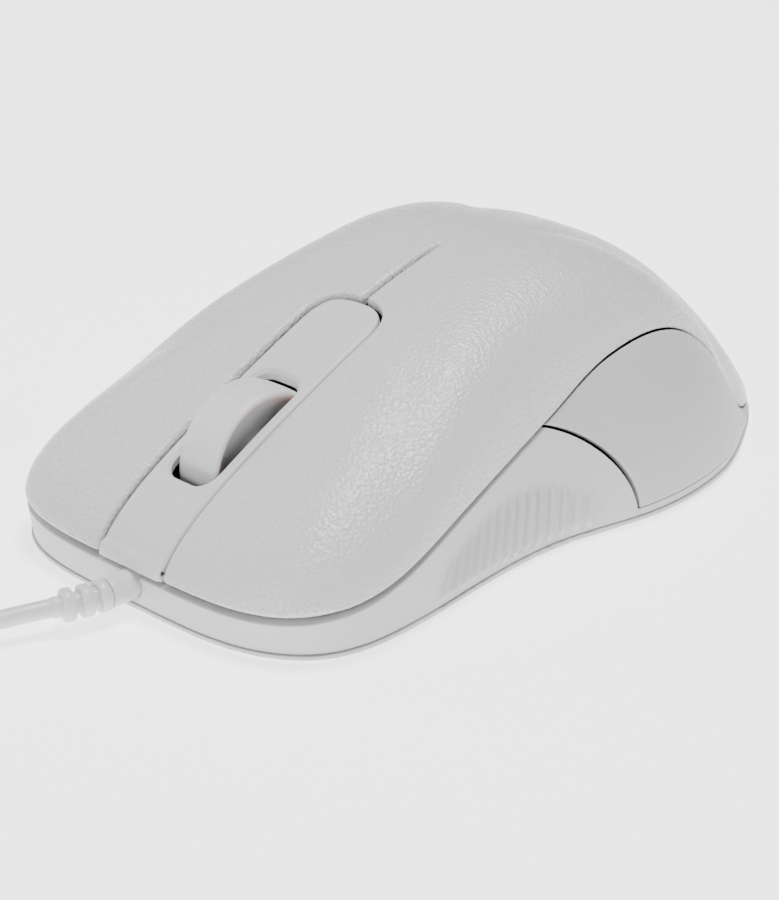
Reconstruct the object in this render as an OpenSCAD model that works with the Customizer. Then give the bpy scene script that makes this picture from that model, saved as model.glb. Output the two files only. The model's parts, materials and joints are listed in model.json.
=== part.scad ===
// Wired three-button optical mouse, life size, millimetres.
// +Z is up and the cable leaves at -Y. For the hand that holds the mouse, the left side is +X.
// The origin is on the table under the middle of the mouse.

/* [Case] */
// Length of the mouse, without its cable
body_len = 114.8; // [105:0.1:125]
// Distance of the flex line, where the buttons join the cover, in front of the origin
flex_y = 4; // [2:0.5:8]
// Wall thickness of the mouldings
wall = 1.6; // [1.2:0.1:2.2]
// Thickness of the base plate
base_t = 1.6; // [1.2:0.1:2.2]
// Height of the base plate's visible edge
lip_t = 0.5; // [0.4:0.1:0.8]
// Thickness of the glide feet
foot_t = 0.6; // [0.4:0.1:1]
// Gap between the fixed mouldings
seam = 0.15; // [0.1:0.05:0.3]

/* [Centre strip] */
// Half width of the centre strip
strip_half = 5.9; // [5:0.1:7]
// Gap between the strip and each button
strip_gap = 0.4; // [0.3:0.05:0.6]
// Rear end of the strip along Y
strip_rear = -13.6; // [-18:0.2:-10]
// Width of the wheel slot
slot_w = 8; // [7.8:0.1:9]
// Length of the wheel slot
slot_len = 18.6; // [18.5:0.1:19]
// Middle of the wheel slot along Y
slot_y = -37.9; // [-38:0.1:-37.8]

/* [Scroll wheel] */
// Radius of the tyre
wheel_r = 10.3; // [10:0.1:10.6]
// Width of the tyre
wheel_w = 7.2; // [6.4:0.1:7.4]
// Radius of the hub under the tyre
hub_r = 8.3; // [7.8:0.1:8.6]
// Radius of the axle pin
axle_r = 1.2; // [1:0.1:1.4]
// Wheel centre along Y
wheel_y = -35; // [-36:0.5:-34]
// Wheel centre height
wheel_z = 14.6; // [14.4:0.1:15]
// Travel of the wheel click
click_travel = 0.5; // [0.3:0.1:0.6]

/* [Grips] */
// Number of ribs on each grip
rib_count = 14; // [8:1:16]
// Spacing of the ribs
rib_pitch = 2.3; // [2:0.1:2.6]
// Width of one rib
rib_w = 1.2; // [0.8:0.1:1.5]

/* [Inside] */
// Height of the circuit board's underside
board_z = 6.4; // [6:0.1:7]
// Thickness of the circuit board
board_t = 1.6; // [1:0.1:1.6]
// Distance of the button switches from the middle
switch_x = 17; // [16:0.5:18]
// Middle of the button switches along Y
switch_y = -36; // [-37:0.5:-35]

/* [Cable] */
// Diameter of the cable
cable_d = 2.5; // [2:0.1:3.5]
// Radius of the coil at the middle of its turns
coil_r = 14.5; // [13:0.5:18]
// Width and height of the bundle of turns
bundle = 10; // [8:1:12]

/* [Hidden] */
$fn = 48;

// Colours
shell_white = [0.90, 0.90, 0.90];
frame_grey = [0.84, 0.84, 0.85];
board_green = [0.10, 0.35, 0.20];
chip_black = [0.08, 0.08, 0.09];
metal = [0.75, 0.76, 0.78];

// Control values of the outer shape: pairs of Y and value.
crown_pts = [[-58, 9.7], [-47, 16.1], [-33, 23.1], [-13, 31.3], [7, 35.6], [27, 34.6], [43, 29.2], [55, 15.1], [58, 10]];
edge_pts = [[-58, 6.3], [-43, 8], [-25, 12.8], [-5, 18.4], [9, 23.2], [23, 23], [34, 16], [42, 5], [47, 2.6], [58, 2.6]];
edge_half_pts = [[-58, 38.4], [-42, 34.3], [-25, 30], [-7, 27], [10, 25.6], [28, 25.9], [38, 27], [46, 29.6], [58, 30]];
base_half_pts = [[-58, 35.5], [-50, 35.6], [-36, 32.5], [-20, 29.9], [-6, 29.8], [12, 33.6], [28, 33.7], [43, 31], [58, 30]];
round_pts = [[-58, 14], [-46, 7], [-25, 6], [4, 4], [25, 2.4], [58, 2.4]];

// Lengths from the flex line to the two ends, and the powers of the plan outline.
front_len = body_len / 2 + flex_y;
rear_len = body_len / 2 - flex_y;
front_n = 4;
rear_n = 2.8;

// Heights
base_top = foot_t + base_t;
wall_z = foot_t + lip_t + seam;
band_top = 2.4;
board_top = board_z + board_t;
relief_z = 3.9;
relief_r = 2.1;
cable_r = cable_d / 2;

// Button and switch
click_deg = 0.66;
plunger_y = switch_y - 2.5;
switch_h = 6.5;
plunger_top = board_top + switch_h + 0.7;
wheel_switch_x = 11.8;

// Rear end of the centre strip: a rounded square end starting at strip_c.
strip_c = strip_rear - strip_half;
end_n = 2.5;
strip_t = 1.2;
nose_z = 6.2;

// Rows of the button skins along Y.
button_rows = [-57.3, -57, -56.4, -55, -52.5, -49, -44, -38, -32, -26, -21, -18.5, -16.5, -15, -14, -13.4, -13, -8, -2];
cover_rows = [8, 14, 20, 26, 32, 37, 42, 46, 50, 53, 55, 56.5, 57.2];

// Cable route on the way from the strain relief to the coil, and from the coil to the plug.
coil_c = [-36, -106];
lead_route = [[-2.6, -68.4, 3.7], [-4.9, -73.9, 3.5], [-7.4, -79.5, 3], [-10.2, -85, 2.3],
  [-13, -90.5, 1.6], [-15.6, -96, 1.3], [-17.3, -101, 1.3], [-17.8, -106, 1.3]];
end_route = [[-54.3, -106, 8.7], [-54.5, -101, 8.2], [-55.1, -96, 6.8], [-55.7, -91, 5.1], [-56, -87, 4.1], [-56, -83, 3.8]];
plug_at = [-56, -83.2, 3.8];
lead_in_route = [[0, -51.5, 3.9], [-1.5, -49.5, 4], [-6, -49.2, 4], [-14, -49.5, 4.2], [-20, -49.6, 4.8], [-24, -46.5, 5.6],
  [-25.2, -41, 6.2], [-25.2, -34, 6.8], [-25, -26, 7.6], [-24.5, -18, 9], [-23.5, -11, 10.5], [-22, -5, 11.2], [-20.4, -2, 11.2]];

function seg(p, y, i = 0) = i >= len(p) - 2 || y < p[i + 1][0] ? i : seg(p, y, i + 1);
function slope(p, i) =
  let (a = max(i - 1, 0), b = min(i + 1, len(p) - 1))
  (p[b][1] - p[a][1]) / (p[b][0] - p[a][0]);
function cubic(p, i, h, t) =
  p[i][1] * (2 * t * t * t - 3 * t * t + 1) + slope(p, i) * h * (t * t * t - 2 * t * t + t)
  + p[i + 1][1] * (3 * t * t - 2 * t * t * t) + slope(p, i + 1) * h * (t * t * t - t * t);
// Smooth curve through control pairs.
function curve(p, y0) =
  let (y = min(max(y0, p[0][0]), p[len(p) - 1][0]), i = seg(p, y), h = p[i + 1][0] - p[i][0])
  cubic(p, i, h, (y - p[i][0]) / h);

function smooth(t) = let (k = min(max(t, 0), 1)) k * k * (3 - 2 * k);
function outline_n(y) = y < flex_y ? front_n : rear_n;
function outline_len(y) = y < flex_y ? front_len : rear_len;

// Half width of an outline at y, for half widths pts, moved in by inset.
function half_x(pts, y, inset = 0) =
  let (n = outline_n(y), f = min(abs(y - flex_y) / (outline_len(y) - inset), 1))
  (curve(pts, y) - inset) * pow(1 - pow(f, n), 1 / n);
function inset_y(y, inset) = flex_y + (y - flex_y) * (outline_len(y) - inset) / outline_len(y);

// Height of the upper surface over a plan point, moved in by inset.
function top_z(x, y, inset = 0) =
  let (
    n = outline_n(y),
    r = pow(pow(abs(x) / (curve(edge_half_pts, y) - inset), n)
      + pow(abs(y - flex_y) / (outline_len(y) - inset), n), 1 / n),
    rr = min(max(r, 0.001), 1),
    ye = flex_y + (y - flex_y) / rr,
    ze = curve(edge_pts, ye),
    q = 1.85 - 0.35 * smooth((ye + 25) / 50)
  )
  ze + (curve(crown_pts, y) - inset - ze) * pow(1 - pow(rr, curve(round_pts, ye)), 1 / q);

// Point on the side wall under the edge: k runs from the base (0) to the edge (1).
function side(y0, k, top, inset = 0) =
  let (
    y = inset_y(y0, inset),
    a = half_x(edge_half_pts, y, inset),
    b = half_x(base_half_pts, y, inset),
    out = 1 - pow(k, 1 + 1.7 * smooth((y + 15) / 30))
  )
  [a + (b - a) * out, y, wall_z + (curve(edge_pts, y0) - wall_z) * k * top];

// Outline of the base ring as a closed polygon.
ring_rows = [for (i = [0:16]) -body_len / 2 + front_len * pow(i / 16, 2)];
rear_rows = [for (i = [1:14]) flex_y + rear_len * (1 - pow(1 - i / 14, 2))];
half_rows = concat(ring_rows, rear_rows);
function ring(pts, inset) = concat(
  [for (y = half_rows) let (v = inset_y(y, inset)) [half_x(pts, v, inset), v]],
  [for (i = [len(half_rows) - 2:-1:1]) let (v = inset_y(half_rows[i], inset)) [-half_x(pts, v, inset), v]]
);

// Closed skin between two grids of points with the same layout.
module skin(outer, inner) {
  m = len(outer);
  n = len(outer[0]);
  o = m * n;
  points = concat([for (r = outer) each r], [for (r = inner) each r]);
  faces = concat(
    [for (i = [0:m - 2], j = [0:n - 2]) each
      [[i * n + j, i * n + j + 1, i * n + n + j], [i * n + j + 1, i * n + n + j + 1, i * n + n + j]]],
    [for (i = [0:m - 2], j = [0:n - 2]) each
      [[o + i * n + j, o + i * n + n + j, o + i * n + j + 1],
       [o + i * n + j + 1, o + i * n + n + j, o + i * n + n + j + 1]]],
    [for (i = [0:m - 2]) each
      [[i * n, i * n + n, o + i * n], [i * n + n, o + i * n + n, o + i * n]]],
    [for (i = [1:m - 1]) each
      [[i * n - 1, o + i * n - 1, i * n + n - 1], [i * n + n - 1, o + i * n - 1, o + i * n + n - 1]]],
    [for (j = [0:n - 2]) each [[j, o + j, j + 1], [j + 1, o + j, o + j + 1]]],
    [for (j = [o - n:o - 2]) each [[j, j + 1, o + j], [j + 1, o + j + 1, o + j]]]
  );
  polyhedron(points, faces);
}

// Round tube through a list of points.
function unit(v) = v / norm(v);
function path_dir(p, i) = unit(p[min(i + 1, len(p) - 1)] - p[max(i - 1, 0)]);
function tube_ring(p, i, r, n) =
  let (d = path_dir(p, i), u = unit(cross([0, 0, 1], d)), w = cross(d, u))
  [for (k = [0:n - 1]) p[i] + r * (cos(360 * k / n) * u + sin(360 * k / n) * w)];
module tube(p, r, n = 8) {
  m = len(p);
  points = [for (i = [0:m - 1]) each tube_ring(p, i, r, n)];
  faces = concat(
    [for (i = [0:m - 2], k = [0:n - 1]) let (l = (k + 1) % n) each
      [[i * n + k, i * n + n + k, i * n + l], [i * n + l, i * n + n + k, i * n + n + l]]],
    [[for (k = [0:n - 1]) k]],
    [[for (k = [n - 1:-1:0]) (m - 1) * n + k]]
  );
  polyhedron(points, faces);
}

// Inner edge of a button: along the strip, round its end, then along the slit.
function inner_x(y) =
  let (g = strip_half + strip_gap, f = (y - strip_c) / g)
  y <= strip_c ? g : f >= 1 ? 0.25 : max(0.25, g * pow(1 - pow(f, end_n), 1 / end_n));

button_cols = [1, 0.98, 0.92, 0.82, 0.68, 0.5, 0.3, 0.12, 0];
function button_grid(inset) =
  [for (y = concat(button_rows, [flex_y - seam])) let (v = inset_y(y, inset), b = half_x(edge_half_pts, v, inset))
    [for (s = button_cols) let (a = min(inner_x(v), b - 0.3), x = a + (b - a) * s) [x, v, top_z(x, v, inset)]]];

// Left button: a curved skin with a post that stands over its switch.
module button_shape() {
  skin(button_grid(0), button_grid(wall));
  translate([switch_x, plunger_y, plunger_top + 0.05])
    cylinder(r = 1.5, h = top_z(switch_x, plunger_y) - wall / 2 - plunger_top);
}

module left_button() {
  color(shell_white) button_shape();
}

module right_button() {
  color(shell_white) mirror([1, 0, 0]) button_shape();
}

boss_at = [12, 28];
function cover_grid(inset) =
  [for (y = concat([flex_y + seam], cover_rows)) let (v = inset_y(y, inset), b = half_x(edge_half_pts, v, inset))
    [for (i = [10:-1:-10]) let (x = b * sin(9 * i)) [x, v, top_z(x, v, inset)]]];

// Top cover with its two screw bosses.
module top_cover() {
  color(shell_white) difference() {
    union() {
      skin(cover_grid(0), cover_grid(wall));
      for (s = [-1, 1]) {
        translate([s * boss_at[0], boss_at[1], base_top + 0.1]) cylinder(r = 3, h = 22);
      }
    }
    for (s = [-1, 1]) {
      translate([s * boss_at[0], boss_at[1], base_top - 1]) cylinder(r = 1.3, h = 13);
    }
  }
}

// Centre strip: a curved bar with a nose in front and a slot for the wheel.
strip_rows = [-57.2, -55, -51, -47, -42, -37, -32, -27, -22, -18, -15, -13];
module strip_profile() {
  polygon(concat(
    [[-57.5, nose_z], [-57.5, curve(crown_pts, -57.2) - 0.8]],
    [for (y = strip_rows) [y, curve(crown_pts, y) - 0.3]],
    [for (i = [len(strip_rows) - 1:-1:1]) [strip_rows[i], curve(crown_pts, strip_rows[i]) - 0.3 - strip_t]],
    [[-56, nose_z]]
  ));
}

module strip_plan() {
  polygon(concat(
    [[-strip_half, -58], [strip_half, -58]],
    [for (a = [0:15:180]) [strip_half * sign(cos(a)) * pow(abs(cos(a)), 2 / end_n),
      strip_c + strip_half * pow(sin(a), 2 / end_n)]]
  ));
}

module slot_shape(w, l, r = 2) {
  translate([-w / 2, r - l / 2, 0]) cube([w, l - 2 * r, 40]);
  translate([r - w / 2, -l / 2, 0]) cube([w - 2 * r, l, 40]);
  for (sx = [-1, 1], sy = [-1, 1]) {
    translate([sx * (w / 2 - r), sy * (l / 2 - r), 0]) cylinder(r = r, h = 40);
  }
}

module centre_strip() {
  color(shell_white) difference() {
    intersection() {
      linear_extrude(height = 40) strip_plan();
      translate([-10, 0, 0]) rotate([90, 0, 90]) linear_extrude(height = 20) strip_profile();
    }
    translate([0, slot_y, 0]) slot_shape(slot_w, slot_len);
  }
}

// Curved seam between the side frame and a side panel.
function seam_y(k) = 8 - 14 * pow(k, 1.6);
function lip_gap(y) = 0.3 + 0.012 * (flex_y - y);
function frame_top(y) = 1 - lip_gap(y) / (curve(edge_pts, y) - wall_z);
frame_cols = [0, 0.25, 0.5, 0.75, 1];

// Rows run from the middle of the front to the seam on one side.
function frame_row(u, inset) =
  [for (k = frame_cols) let (y_end = seam_y(k) - seam, y = -body_len / 2 + (y_end + body_len / 2) * pow(u, 2))
    side(y, k, frame_top(y), inset)];
function flip(row) = [for (p = row) [-p[0], p[1], p[2]]];
frame_steps = 20;
function frame_grid(inset) = concat(
  [for (i = [frame_steps:-1:1]) flip(frame_row(i / frame_steps, inset))],
  [for (i = [0:frame_steps]) frame_row(i / frame_steps, inset)]
);

// Round rod from a to b.
module rod(a, b, r) {
  d = b - a;
  translate(a) rotate([0, acos(d[2] / norm(d)), atan2(d[1], d[0])]) cylinder(r = r, h = norm(d));
}

// Point inside the frame's skin at height z, a little under its surface.
function under_skin(y, z) =
  let (k = (z - wall_z) / (curve(edge_pts, y) - wall_z)) [side(y, k, 1, 0.4)[0], y, z];

// One slim rib of a grip, leaning back, under an arched line.
module rib(i) {
  y = -30.6 + rib_pitch * i;
  mid = (rib_count - 1) / 2;
  top = 11.5 - 4.2 * pow((i - mid) / mid, 2);
  rod(under_skin(y, wall_z + 0.5), under_skin(y + 3.3 - 0.15 * i, top), rib_w / 2);
}

// Side frame: the band round the front and both grips, with the clamp of the strain relief.
module side_frame() {
  color(frame_grey) difference() {
    union() {
      skin(frame_grid(0.2), frame_grid(0.2 + wall));
      translate([0, 0, wall_z]) linear_extrude(height = band_top - wall_z) difference() {
        polygon(ring(base_half_pts, 0.3));
        polygon(ring(base_half_pts, wall - 0.1));
      }
      translate([-5, -55.2, base_top + seam]) cube([10, 3.8, 5.8]);
      translate([-5, -56.2, base_top + seam]) cube([10, 2, 3.6]);
      for (i = [0:rib_count - 1]) {
        rib(i);
        mirror([1, 0, 0]) rib(i);
      }
    }
    translate([0, -50, relief_z]) rotate([90, 0, 0]) cylinder(r = relief_r + 0.1, h = 12);
    translate([0, -52.8, relief_z]) rotate([90, 0, 0]) cylinder(r = 3.3, h = 1.4);
  }
}

// Side panel behind the grip, from just above the frame's low band to just under the cover.
function panel_k(y, k) =
  let (h = curve(edge_pts, y) - wall_z, low = band_top + seam - wall_z)
  (low + (h - 2 * seam - low) * k) / h;
panel_cols = [0, 0.2, 0.4, 0.6, 0.8, 1];
function panel_grid(inset) =
  [for (i = [0:14]) let (u = i / 14) [for (k = panel_cols)
    let (y = seam_y(k) + seam + (44 - seam_y(k)) * u)
    side(y, panel_k(y, k), 1, inset)]];

module left_side_panel() {
  color(frame_grey) skin(panel_grid(0.1), panel_grid(0.1 + wall));
}

module right_side_panel() {
  color(frame_grey) mirror([1, 0, 0]) skin(panel_grid(0.1), panel_grid(0.1 + wall));
}

window_at = [0, 5];
board_posts = [[18, 16], [-18, 16], [20, -26], [-20, -26]];

// Base plate with the axle posts, the board posts, the sensor window and the screw holes.
module base_plate() {
  color(frame_grey) difference() {
    union() {
      translate([0, 0, foot_t]) linear_extrude(height = lip_t) polygon(ring(base_half_pts, 0));
      translate([0, 0, foot_t]) linear_extrude(height = base_t) polygon(ring(base_half_pts, wall + 0.5));
      for (s = [-1, 1]) {
        translate([s * 7.3 - 1, wheel_y - 2.2, base_top - 0.2]) cube([2, 4.4, 14.4]);
      }
      for (p = board_posts) {
        translate([p[0], p[1], base_top - 0.2]) cylinder(r = 2, h = board_z - base_top + 0.2);
      }
    }
    for (s = [-1, 1]) {
      translate([s * 7.3 - 2, wheel_y - axle_r - 0.05, wheel_z - click_travel]) cube([4, 2 * axle_r + 0.1, 10]);
      translate([s * 7.3 - 2, wheel_y, wheel_z - click_travel]) rotate([0, 90, 0]) cylinder(r = axle_r + 0.05, h = 4);
      translate([s * boss_at[0], boss_at[1], 0]) cylinder(r = 1.5, h = 5);
      translate([s * boss_at[0], boss_at[1], 0]) cylinder(r = 2.8, h = foot_t + 0.9);
    }
    translate([0, -49, relief_z]) rotate([90, 0, 0]) cylinder(r = relief_r + 0.1, h = 12);
    translate([0, -52.8, relief_z]) rotate([90, 0, 0]) cylinder(r = 3.3, h = 1.4);
    translate([-5, window_at[1] - 4, 0]) cube([10, 8, 5]);
  }
}

// Two front glide feet share a node.
module front_foot() {
  color("whitesmoke") for (s = [-1, 1]) {
    translate([s * 17, -44, 0]) linear_extrude(height = foot_t) {
      square([12, 4], center = true);
      translate([6, 0]) circle(d = 4);
      translate([-6, 0]) circle(d = 4);
    }
  }
}

module rear_foot() {
  color("whitesmoke") translate([0, 43, 0]) linear_extrude(height = foot_t) {
    square([26, 5], center = true);
    translate([13, 0]) circle(d = 5);
    translate([-13, 0]) circle(d = 5);
  }
}

// Circuit board with the wheel slot, the post slots and the window for the lens.
module circuit_board() {
  color(board_green) difference() {
    translate([-22, -48, board_z]) cube([44, 68, board_t]);
    translate([-4.2, -47, 0]) cube([8.4, 24, 20]);
    for (s = [-1, 1]) {
      translate([s * 7.3 - 1.3, wheel_y - 2.6, 0]) cube([2.6, 5.2, 20]);
    }
    translate([-3, window_at[1] - 2, 0]) cube([6, 4, 20]);
    translate([-8, -50, 0]) cube([16, 3.5, 20]);
  }
}

module optical_sensor() {
  color(chip_black) translate([-5, 0.5, board_top]) cube([10, 9, 3.6]);
}

// Clear lens: a plate over the window with a round lens that stands up through the board.
module sensor_lens() {
  color([0.85, 0.9, 0.95, 0.5]) {
    translate([-4.6, window_at[1] - 3.7, foot_t + 0.3]) cube([9.2, 7.4, 2.6]);
    translate([0, window_at[1], foot_t + 2.8]) cylinder(r = 1.8, h = board_z + 0.6 - foot_t - 2.8);
  }
}

// Light source lying on the board and pointing at the lens.
module led() {
  color([0.9, 0.2, 0.15]) translate([0, -0.2, board_top + 2.6]) rotate([90, 0, 0]) cylinder(r = 1.5, h = 6);
}

module led_clip() {
  color(chip_black) difference() {
    translate([-3.6, -6, board_top]) cube([7.2, 4.6, 5.4]);
    translate([0, 1, board_top + 2.6]) rotate([90, 0, 0]) cylinder(r = 1.6, h = 12);
  }
}

// Snap switch: a block with a round opening for its plunger.
module switch_body(x) {
  color(chip_black) difference() {
    translate([x - 2.9, switch_y - 6.4, board_top]) cube([5.8, 12.8, switch_h]);
    translate([x, plunger_y, board_top + 4]) cylinder(r = 1.05, h = 4);
  }
}

module left_switch() {
  switch_body(switch_x);
}

module right_switch() {
  switch_body(-switch_x);
}

module switch_plunger(x) {
  color([0.85, 0.25, 0.2]) translate([x, plunger_y, board_top + 4.6])
    cylinder(r = 1, h = plunger_top - board_top - 4.6);
}

module left_plunger() {
  switch_plunger(switch_x);
}

module right_plunger() {
  switch_plunger(-switch_x);
}

// Switch under the left end of the axle.
module wheel_switch() {
  color(chip_black) difference() {
    translate([wheel_switch_x - 1.9, wheel_y - 3, board_top]) cube([3.8, 6, 4.4]);
    translate([wheel_switch_x, wheel_y, board_top + 1.8]) cylinder(r = 1.05, h = 4);
  }
}

module wheel_plunger() {
  color("whitesmoke") translate([wheel_switch_x, wheel_y, board_top + 2.4])
    cylinder(r = 1, h = wheel_z - axle_r - 0.05 - board_top - 2.4);
}

// Hub with a raised boss, a bore for the axle and a ring of encoder windows.
module wheel_hub() {
  color("whitesmoke") translate([0, wheel_y, wheel_z]) rotate([0, 90, 0]) difference() {
    rotate_extrude() polygon([[axle_r + 0.05, -3], [4, -3], [4.4, -2.2], [hub_r, -2.2], [hub_r, 2.2],
      [4.4, 2.2], [4, 3], [axle_r + 0.05, 3]]);
    for (a = [0:22.5:359]) {
      rotate([0, 0, a]) translate([4.8, -0.5, -4]) cube([1.6, 1, 8]);
    }
  }
}

module wheel_tyre() {
  color([0.88, 0.88, 0.87]) translate([0, wheel_y, wheel_z]) rotate([0, 90, 0]) rotate_extrude()
    polygon([[hub_r, -wheel_w / 2], [wheel_r - 0.8, -wheel_w / 2], [wheel_r - 0.2, -wheel_w / 2 + 0.3],
      [wheel_r, -wheel_w / 2 + 1], [wheel_r, wheel_w / 2 - 1], [wheel_r - 0.2, wheel_w / 2 - 0.3],
      [wheel_r - 0.8, wheel_w / 2], [hub_r, wheel_w / 2]]);
}

module wheel_axle() {
  color(metal) translate([-9, wheel_y, wheel_z]) rotate([0, 90, 0]) cylinder(r = axle_r, h = 22.5);
}

// Arched leaf spring under the wheel.
module wheel_spring() {
  color(metal) translate([-1.5, 0, 0]) rotate([90, 0, 90]) linear_extrude(height = 3) polygon([
    [-42, base_top], [-41, base_top], [-38, 3], [-35, 3.2], [-32, 3], [-29, base_top], [-28, base_top],
    [-32, 3.25], [-35, 3.45], [-38, 3.25]
  ]);
}

// Both halves of the light gate beside the hub's windows.
module infrared_emitter() {
  color([0.3, 0.3, 0.35]) translate([-5.9, wheel_y + 3, board_top]) cube([1.6, 3.6, 5]);
}

module infrared_receiver() {
  color(chip_black) translate([4.3, wheel_y + 3, board_top]) cube([1.6, 3.6, 5]);
}

module capacitor() {
  color([0.15, 0.2, 0.3]) translate([16, 12, board_top]) cylinder(r = 2.5, h = 8);
}

module cable_socket() {
  color("ivory") translate([-19.9, -8, board_top]) cube([5, 12, 6]);
}

// Cable inside the case, from the clamp to the socket on the board.
module inner_lead() {
  color([0.86, 0.86, 0.86]) tube(lead_in_route, cable_r);
}

module case_screws() {
  color(metal) for (s = [-1, 1]) {
    translate([s * boss_at[0], boss_at[1], foot_t + 0.05]) cylinder(r = 2.6, h = 0.8);
    translate([s * boss_at[0], boss_at[1], foot_t + 0.05]) cylinder(r = 1.25, h = 10);
  }
}

// Strain relief: a plain sleeve held by its flange, then three rings, bending to one side.
module relief_ring(p, yaw) {
  translate(p) rotate([90, 0, -yaw]) {
    translate([0, 0, -0.6]) cylinder(r = 1.5, h = 3.4);
    cylinder(r = relief_r, h = 1.3);
  }
}

module strain_relief() {
  color([0.86, 0.86, 0.86]) {
    translate([0, -51.5, relief_z]) rotate([90, 0, 0]) cylinder(r = relief_r, h = 9.5);
    translate([0, -53, relief_z]) rotate([90, 0, 0]) cylinder(r = 3.1, h = 1);
    relief_ring([-0.2, -61.6, 3.88], 13);
    relief_ring([-0.8, -63.8, 3.84], 18);
    relief_ring([-1.55, -65.9, 3.78], 22);
  }
}

module cable() {
  color([0.86, 0.86, 0.86]) tube(lead_route, cable_r);
}

// Outer shape of the wound cable.
module cable_coil() {
  color([0.86, 0.86, 0.86]) translate([coil_c[0], coil_c[1], 0]) rotate_extrude() polygon([
    [coil_r - bundle / 2, 1.5], [coil_r - bundle / 2 + 1.5, 0], [coil_r + bundle / 2 - 1.5, 0], [coil_r + bundle / 2, 1.5],
    [coil_r + bundle / 2, bundle - 1.5], [coil_r + bundle / 2 - 1.5, bundle], [coil_r - bundle / 2 + 1.5, bundle],
    [coil_r - bundle / 2, bundle - 1.5]
  ]);
}

// Tie round the bundle.
module cable_tie() {
  color(chip_black) translate([coil_c[0], coil_c[1] + coil_r, 0]) difference() {
    translate([-2, -bundle / 2 - 0.8, 0]) cube([4, bundle + 1.6, bundle + 0.8]);
    translate([-3, -bundle / 2 - 0.05, -1]) cube([6, bundle + 0.1, bundle + 1.05]);
  }
}

module cable_end() {
  color([0.86, 0.86, 0.86]) tube(end_route, cable_r);
}

// Plug: moulded body, metal shell and the tongue inside it.
module plug_body() {
  color([0.86, 0.86, 0.86]) translate(plug_at) {
    translate([-6, 6, -3.6]) cube([12, 20, 7.2]);
    translate([0, 6.2, 0]) rotate([90, 0, 0]) cylinder(r = 2.4, h = 6.2);
  }
}

module plug_shell() {
  color(metal) translate(plug_at) difference() {
    translate([-6, 26, -2.25]) cube([12, 12.5, 4.5]);
    translate([-5.7, 25, -1.95]) cube([11.4, 14, 3.9]);
  }
}

module plug_tongue() {
  color(chip_black) translate(plug_at) translate([-5.6, 26, 0.1]) cube([11.2, 11.5, 1.8]);
}

top_cover();
left_button();
right_button();
centre_strip();
side_frame();
left_side_panel();
right_side_panel();
base_plate();
front_foot();
rear_foot();
circuit_board();
optical_sensor();
sensor_lens();
led();
led_clip();
left_switch();
right_switch();
wheel_switch();
left_plunger();
right_plunger();
wheel_plunger();
wheel_tyre();
wheel_hub();
wheel_axle();
wheel_spring();
infrared_emitter();
infrared_receiver();
capacitor();
cable_socket();
inner_lead();
case_screws();
strain_relief();
cable();
cable_coil();
cable_tie();
cable_end();
plug_body();
plug_shell();
plug_tongue();
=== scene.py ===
import json
import math

import bpy
import numpy as np
from mathutils import Matrix, Vector


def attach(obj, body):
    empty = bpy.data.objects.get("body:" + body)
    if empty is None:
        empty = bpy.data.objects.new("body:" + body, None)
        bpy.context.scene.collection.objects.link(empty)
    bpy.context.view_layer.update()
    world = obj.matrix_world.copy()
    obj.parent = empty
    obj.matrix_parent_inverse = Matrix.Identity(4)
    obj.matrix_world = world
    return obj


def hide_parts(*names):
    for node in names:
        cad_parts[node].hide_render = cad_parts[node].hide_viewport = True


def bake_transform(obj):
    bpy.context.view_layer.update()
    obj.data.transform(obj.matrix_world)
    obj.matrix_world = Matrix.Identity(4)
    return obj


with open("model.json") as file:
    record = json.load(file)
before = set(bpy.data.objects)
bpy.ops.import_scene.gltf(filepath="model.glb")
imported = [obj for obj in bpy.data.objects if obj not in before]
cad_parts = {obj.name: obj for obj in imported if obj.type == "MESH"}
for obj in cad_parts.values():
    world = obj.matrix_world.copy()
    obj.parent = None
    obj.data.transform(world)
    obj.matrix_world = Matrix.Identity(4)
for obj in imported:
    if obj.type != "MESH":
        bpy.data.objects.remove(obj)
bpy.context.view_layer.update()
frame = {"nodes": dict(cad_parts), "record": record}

MM = 0.001

# Camera: its place in metres, the way from its target back to it, and its lens in millimetres
CAMERA_AT = (0.22498, -0.24616, 0.15921)
CAMERA_BACK = (0.62243, -0.65865, 0.42280)
LENS = 101.46
SENSOR = 36

# The outer shape in millimetres, on the part's control values. Only ROUND is fuller than the part's.
BODY_LEN = 114.8
FLEX_Y = 4.0
WALL = 1.6
FRONT_Y = -BODY_LEN / 2
FRONT_LEN = BODY_LEN / 2 + FLEX_Y
REAR_LEN = BODY_LEN / 2 - FLEX_Y
FRONT_N = 4.0
REAR_N = 2.8
FOOT_T = 0.6
LIP_T = 0.5
SEAM = 0.15
WALL_Z = FOOT_T + LIP_T + SEAM
BAND_TOP = 2.4
CROWN = [(-58, 9.7), (-47, 16.1), (-33, 23.1), (-13, 31.3), (7, 35.6),
         (27, 34.6), (43, 29.2), (55, 15.1), (58, 10)]
EDGE = [(-58, 6.3), (-43, 8), (-25, 12.8), (-5, 18.4), (9, 23.2),
        (23, 23), (34, 16), (42, 5), (47, 2.6), (58, 2.6)]
EDGE_HALF = [(-58, 38.4), (-42, 34.3), (-25, 30), (-7, 27), (10, 25.6),
             (28, 25.9), (38, 27), (46, 29.6), (58, 30)]
BASE_HALF = [(-58, 35.5), (-50, 35.6), (-36, 32.5), (-20, 29.9), (-6, 29.8),
             (12, 33.6), (28, 33.7), (43, 31), (58, 30)]
ROUND = [(-58, 26), (-46, 8), (-25, 6), (4, 4.3), (25, 3.1), (58, 2.4)]

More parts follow.
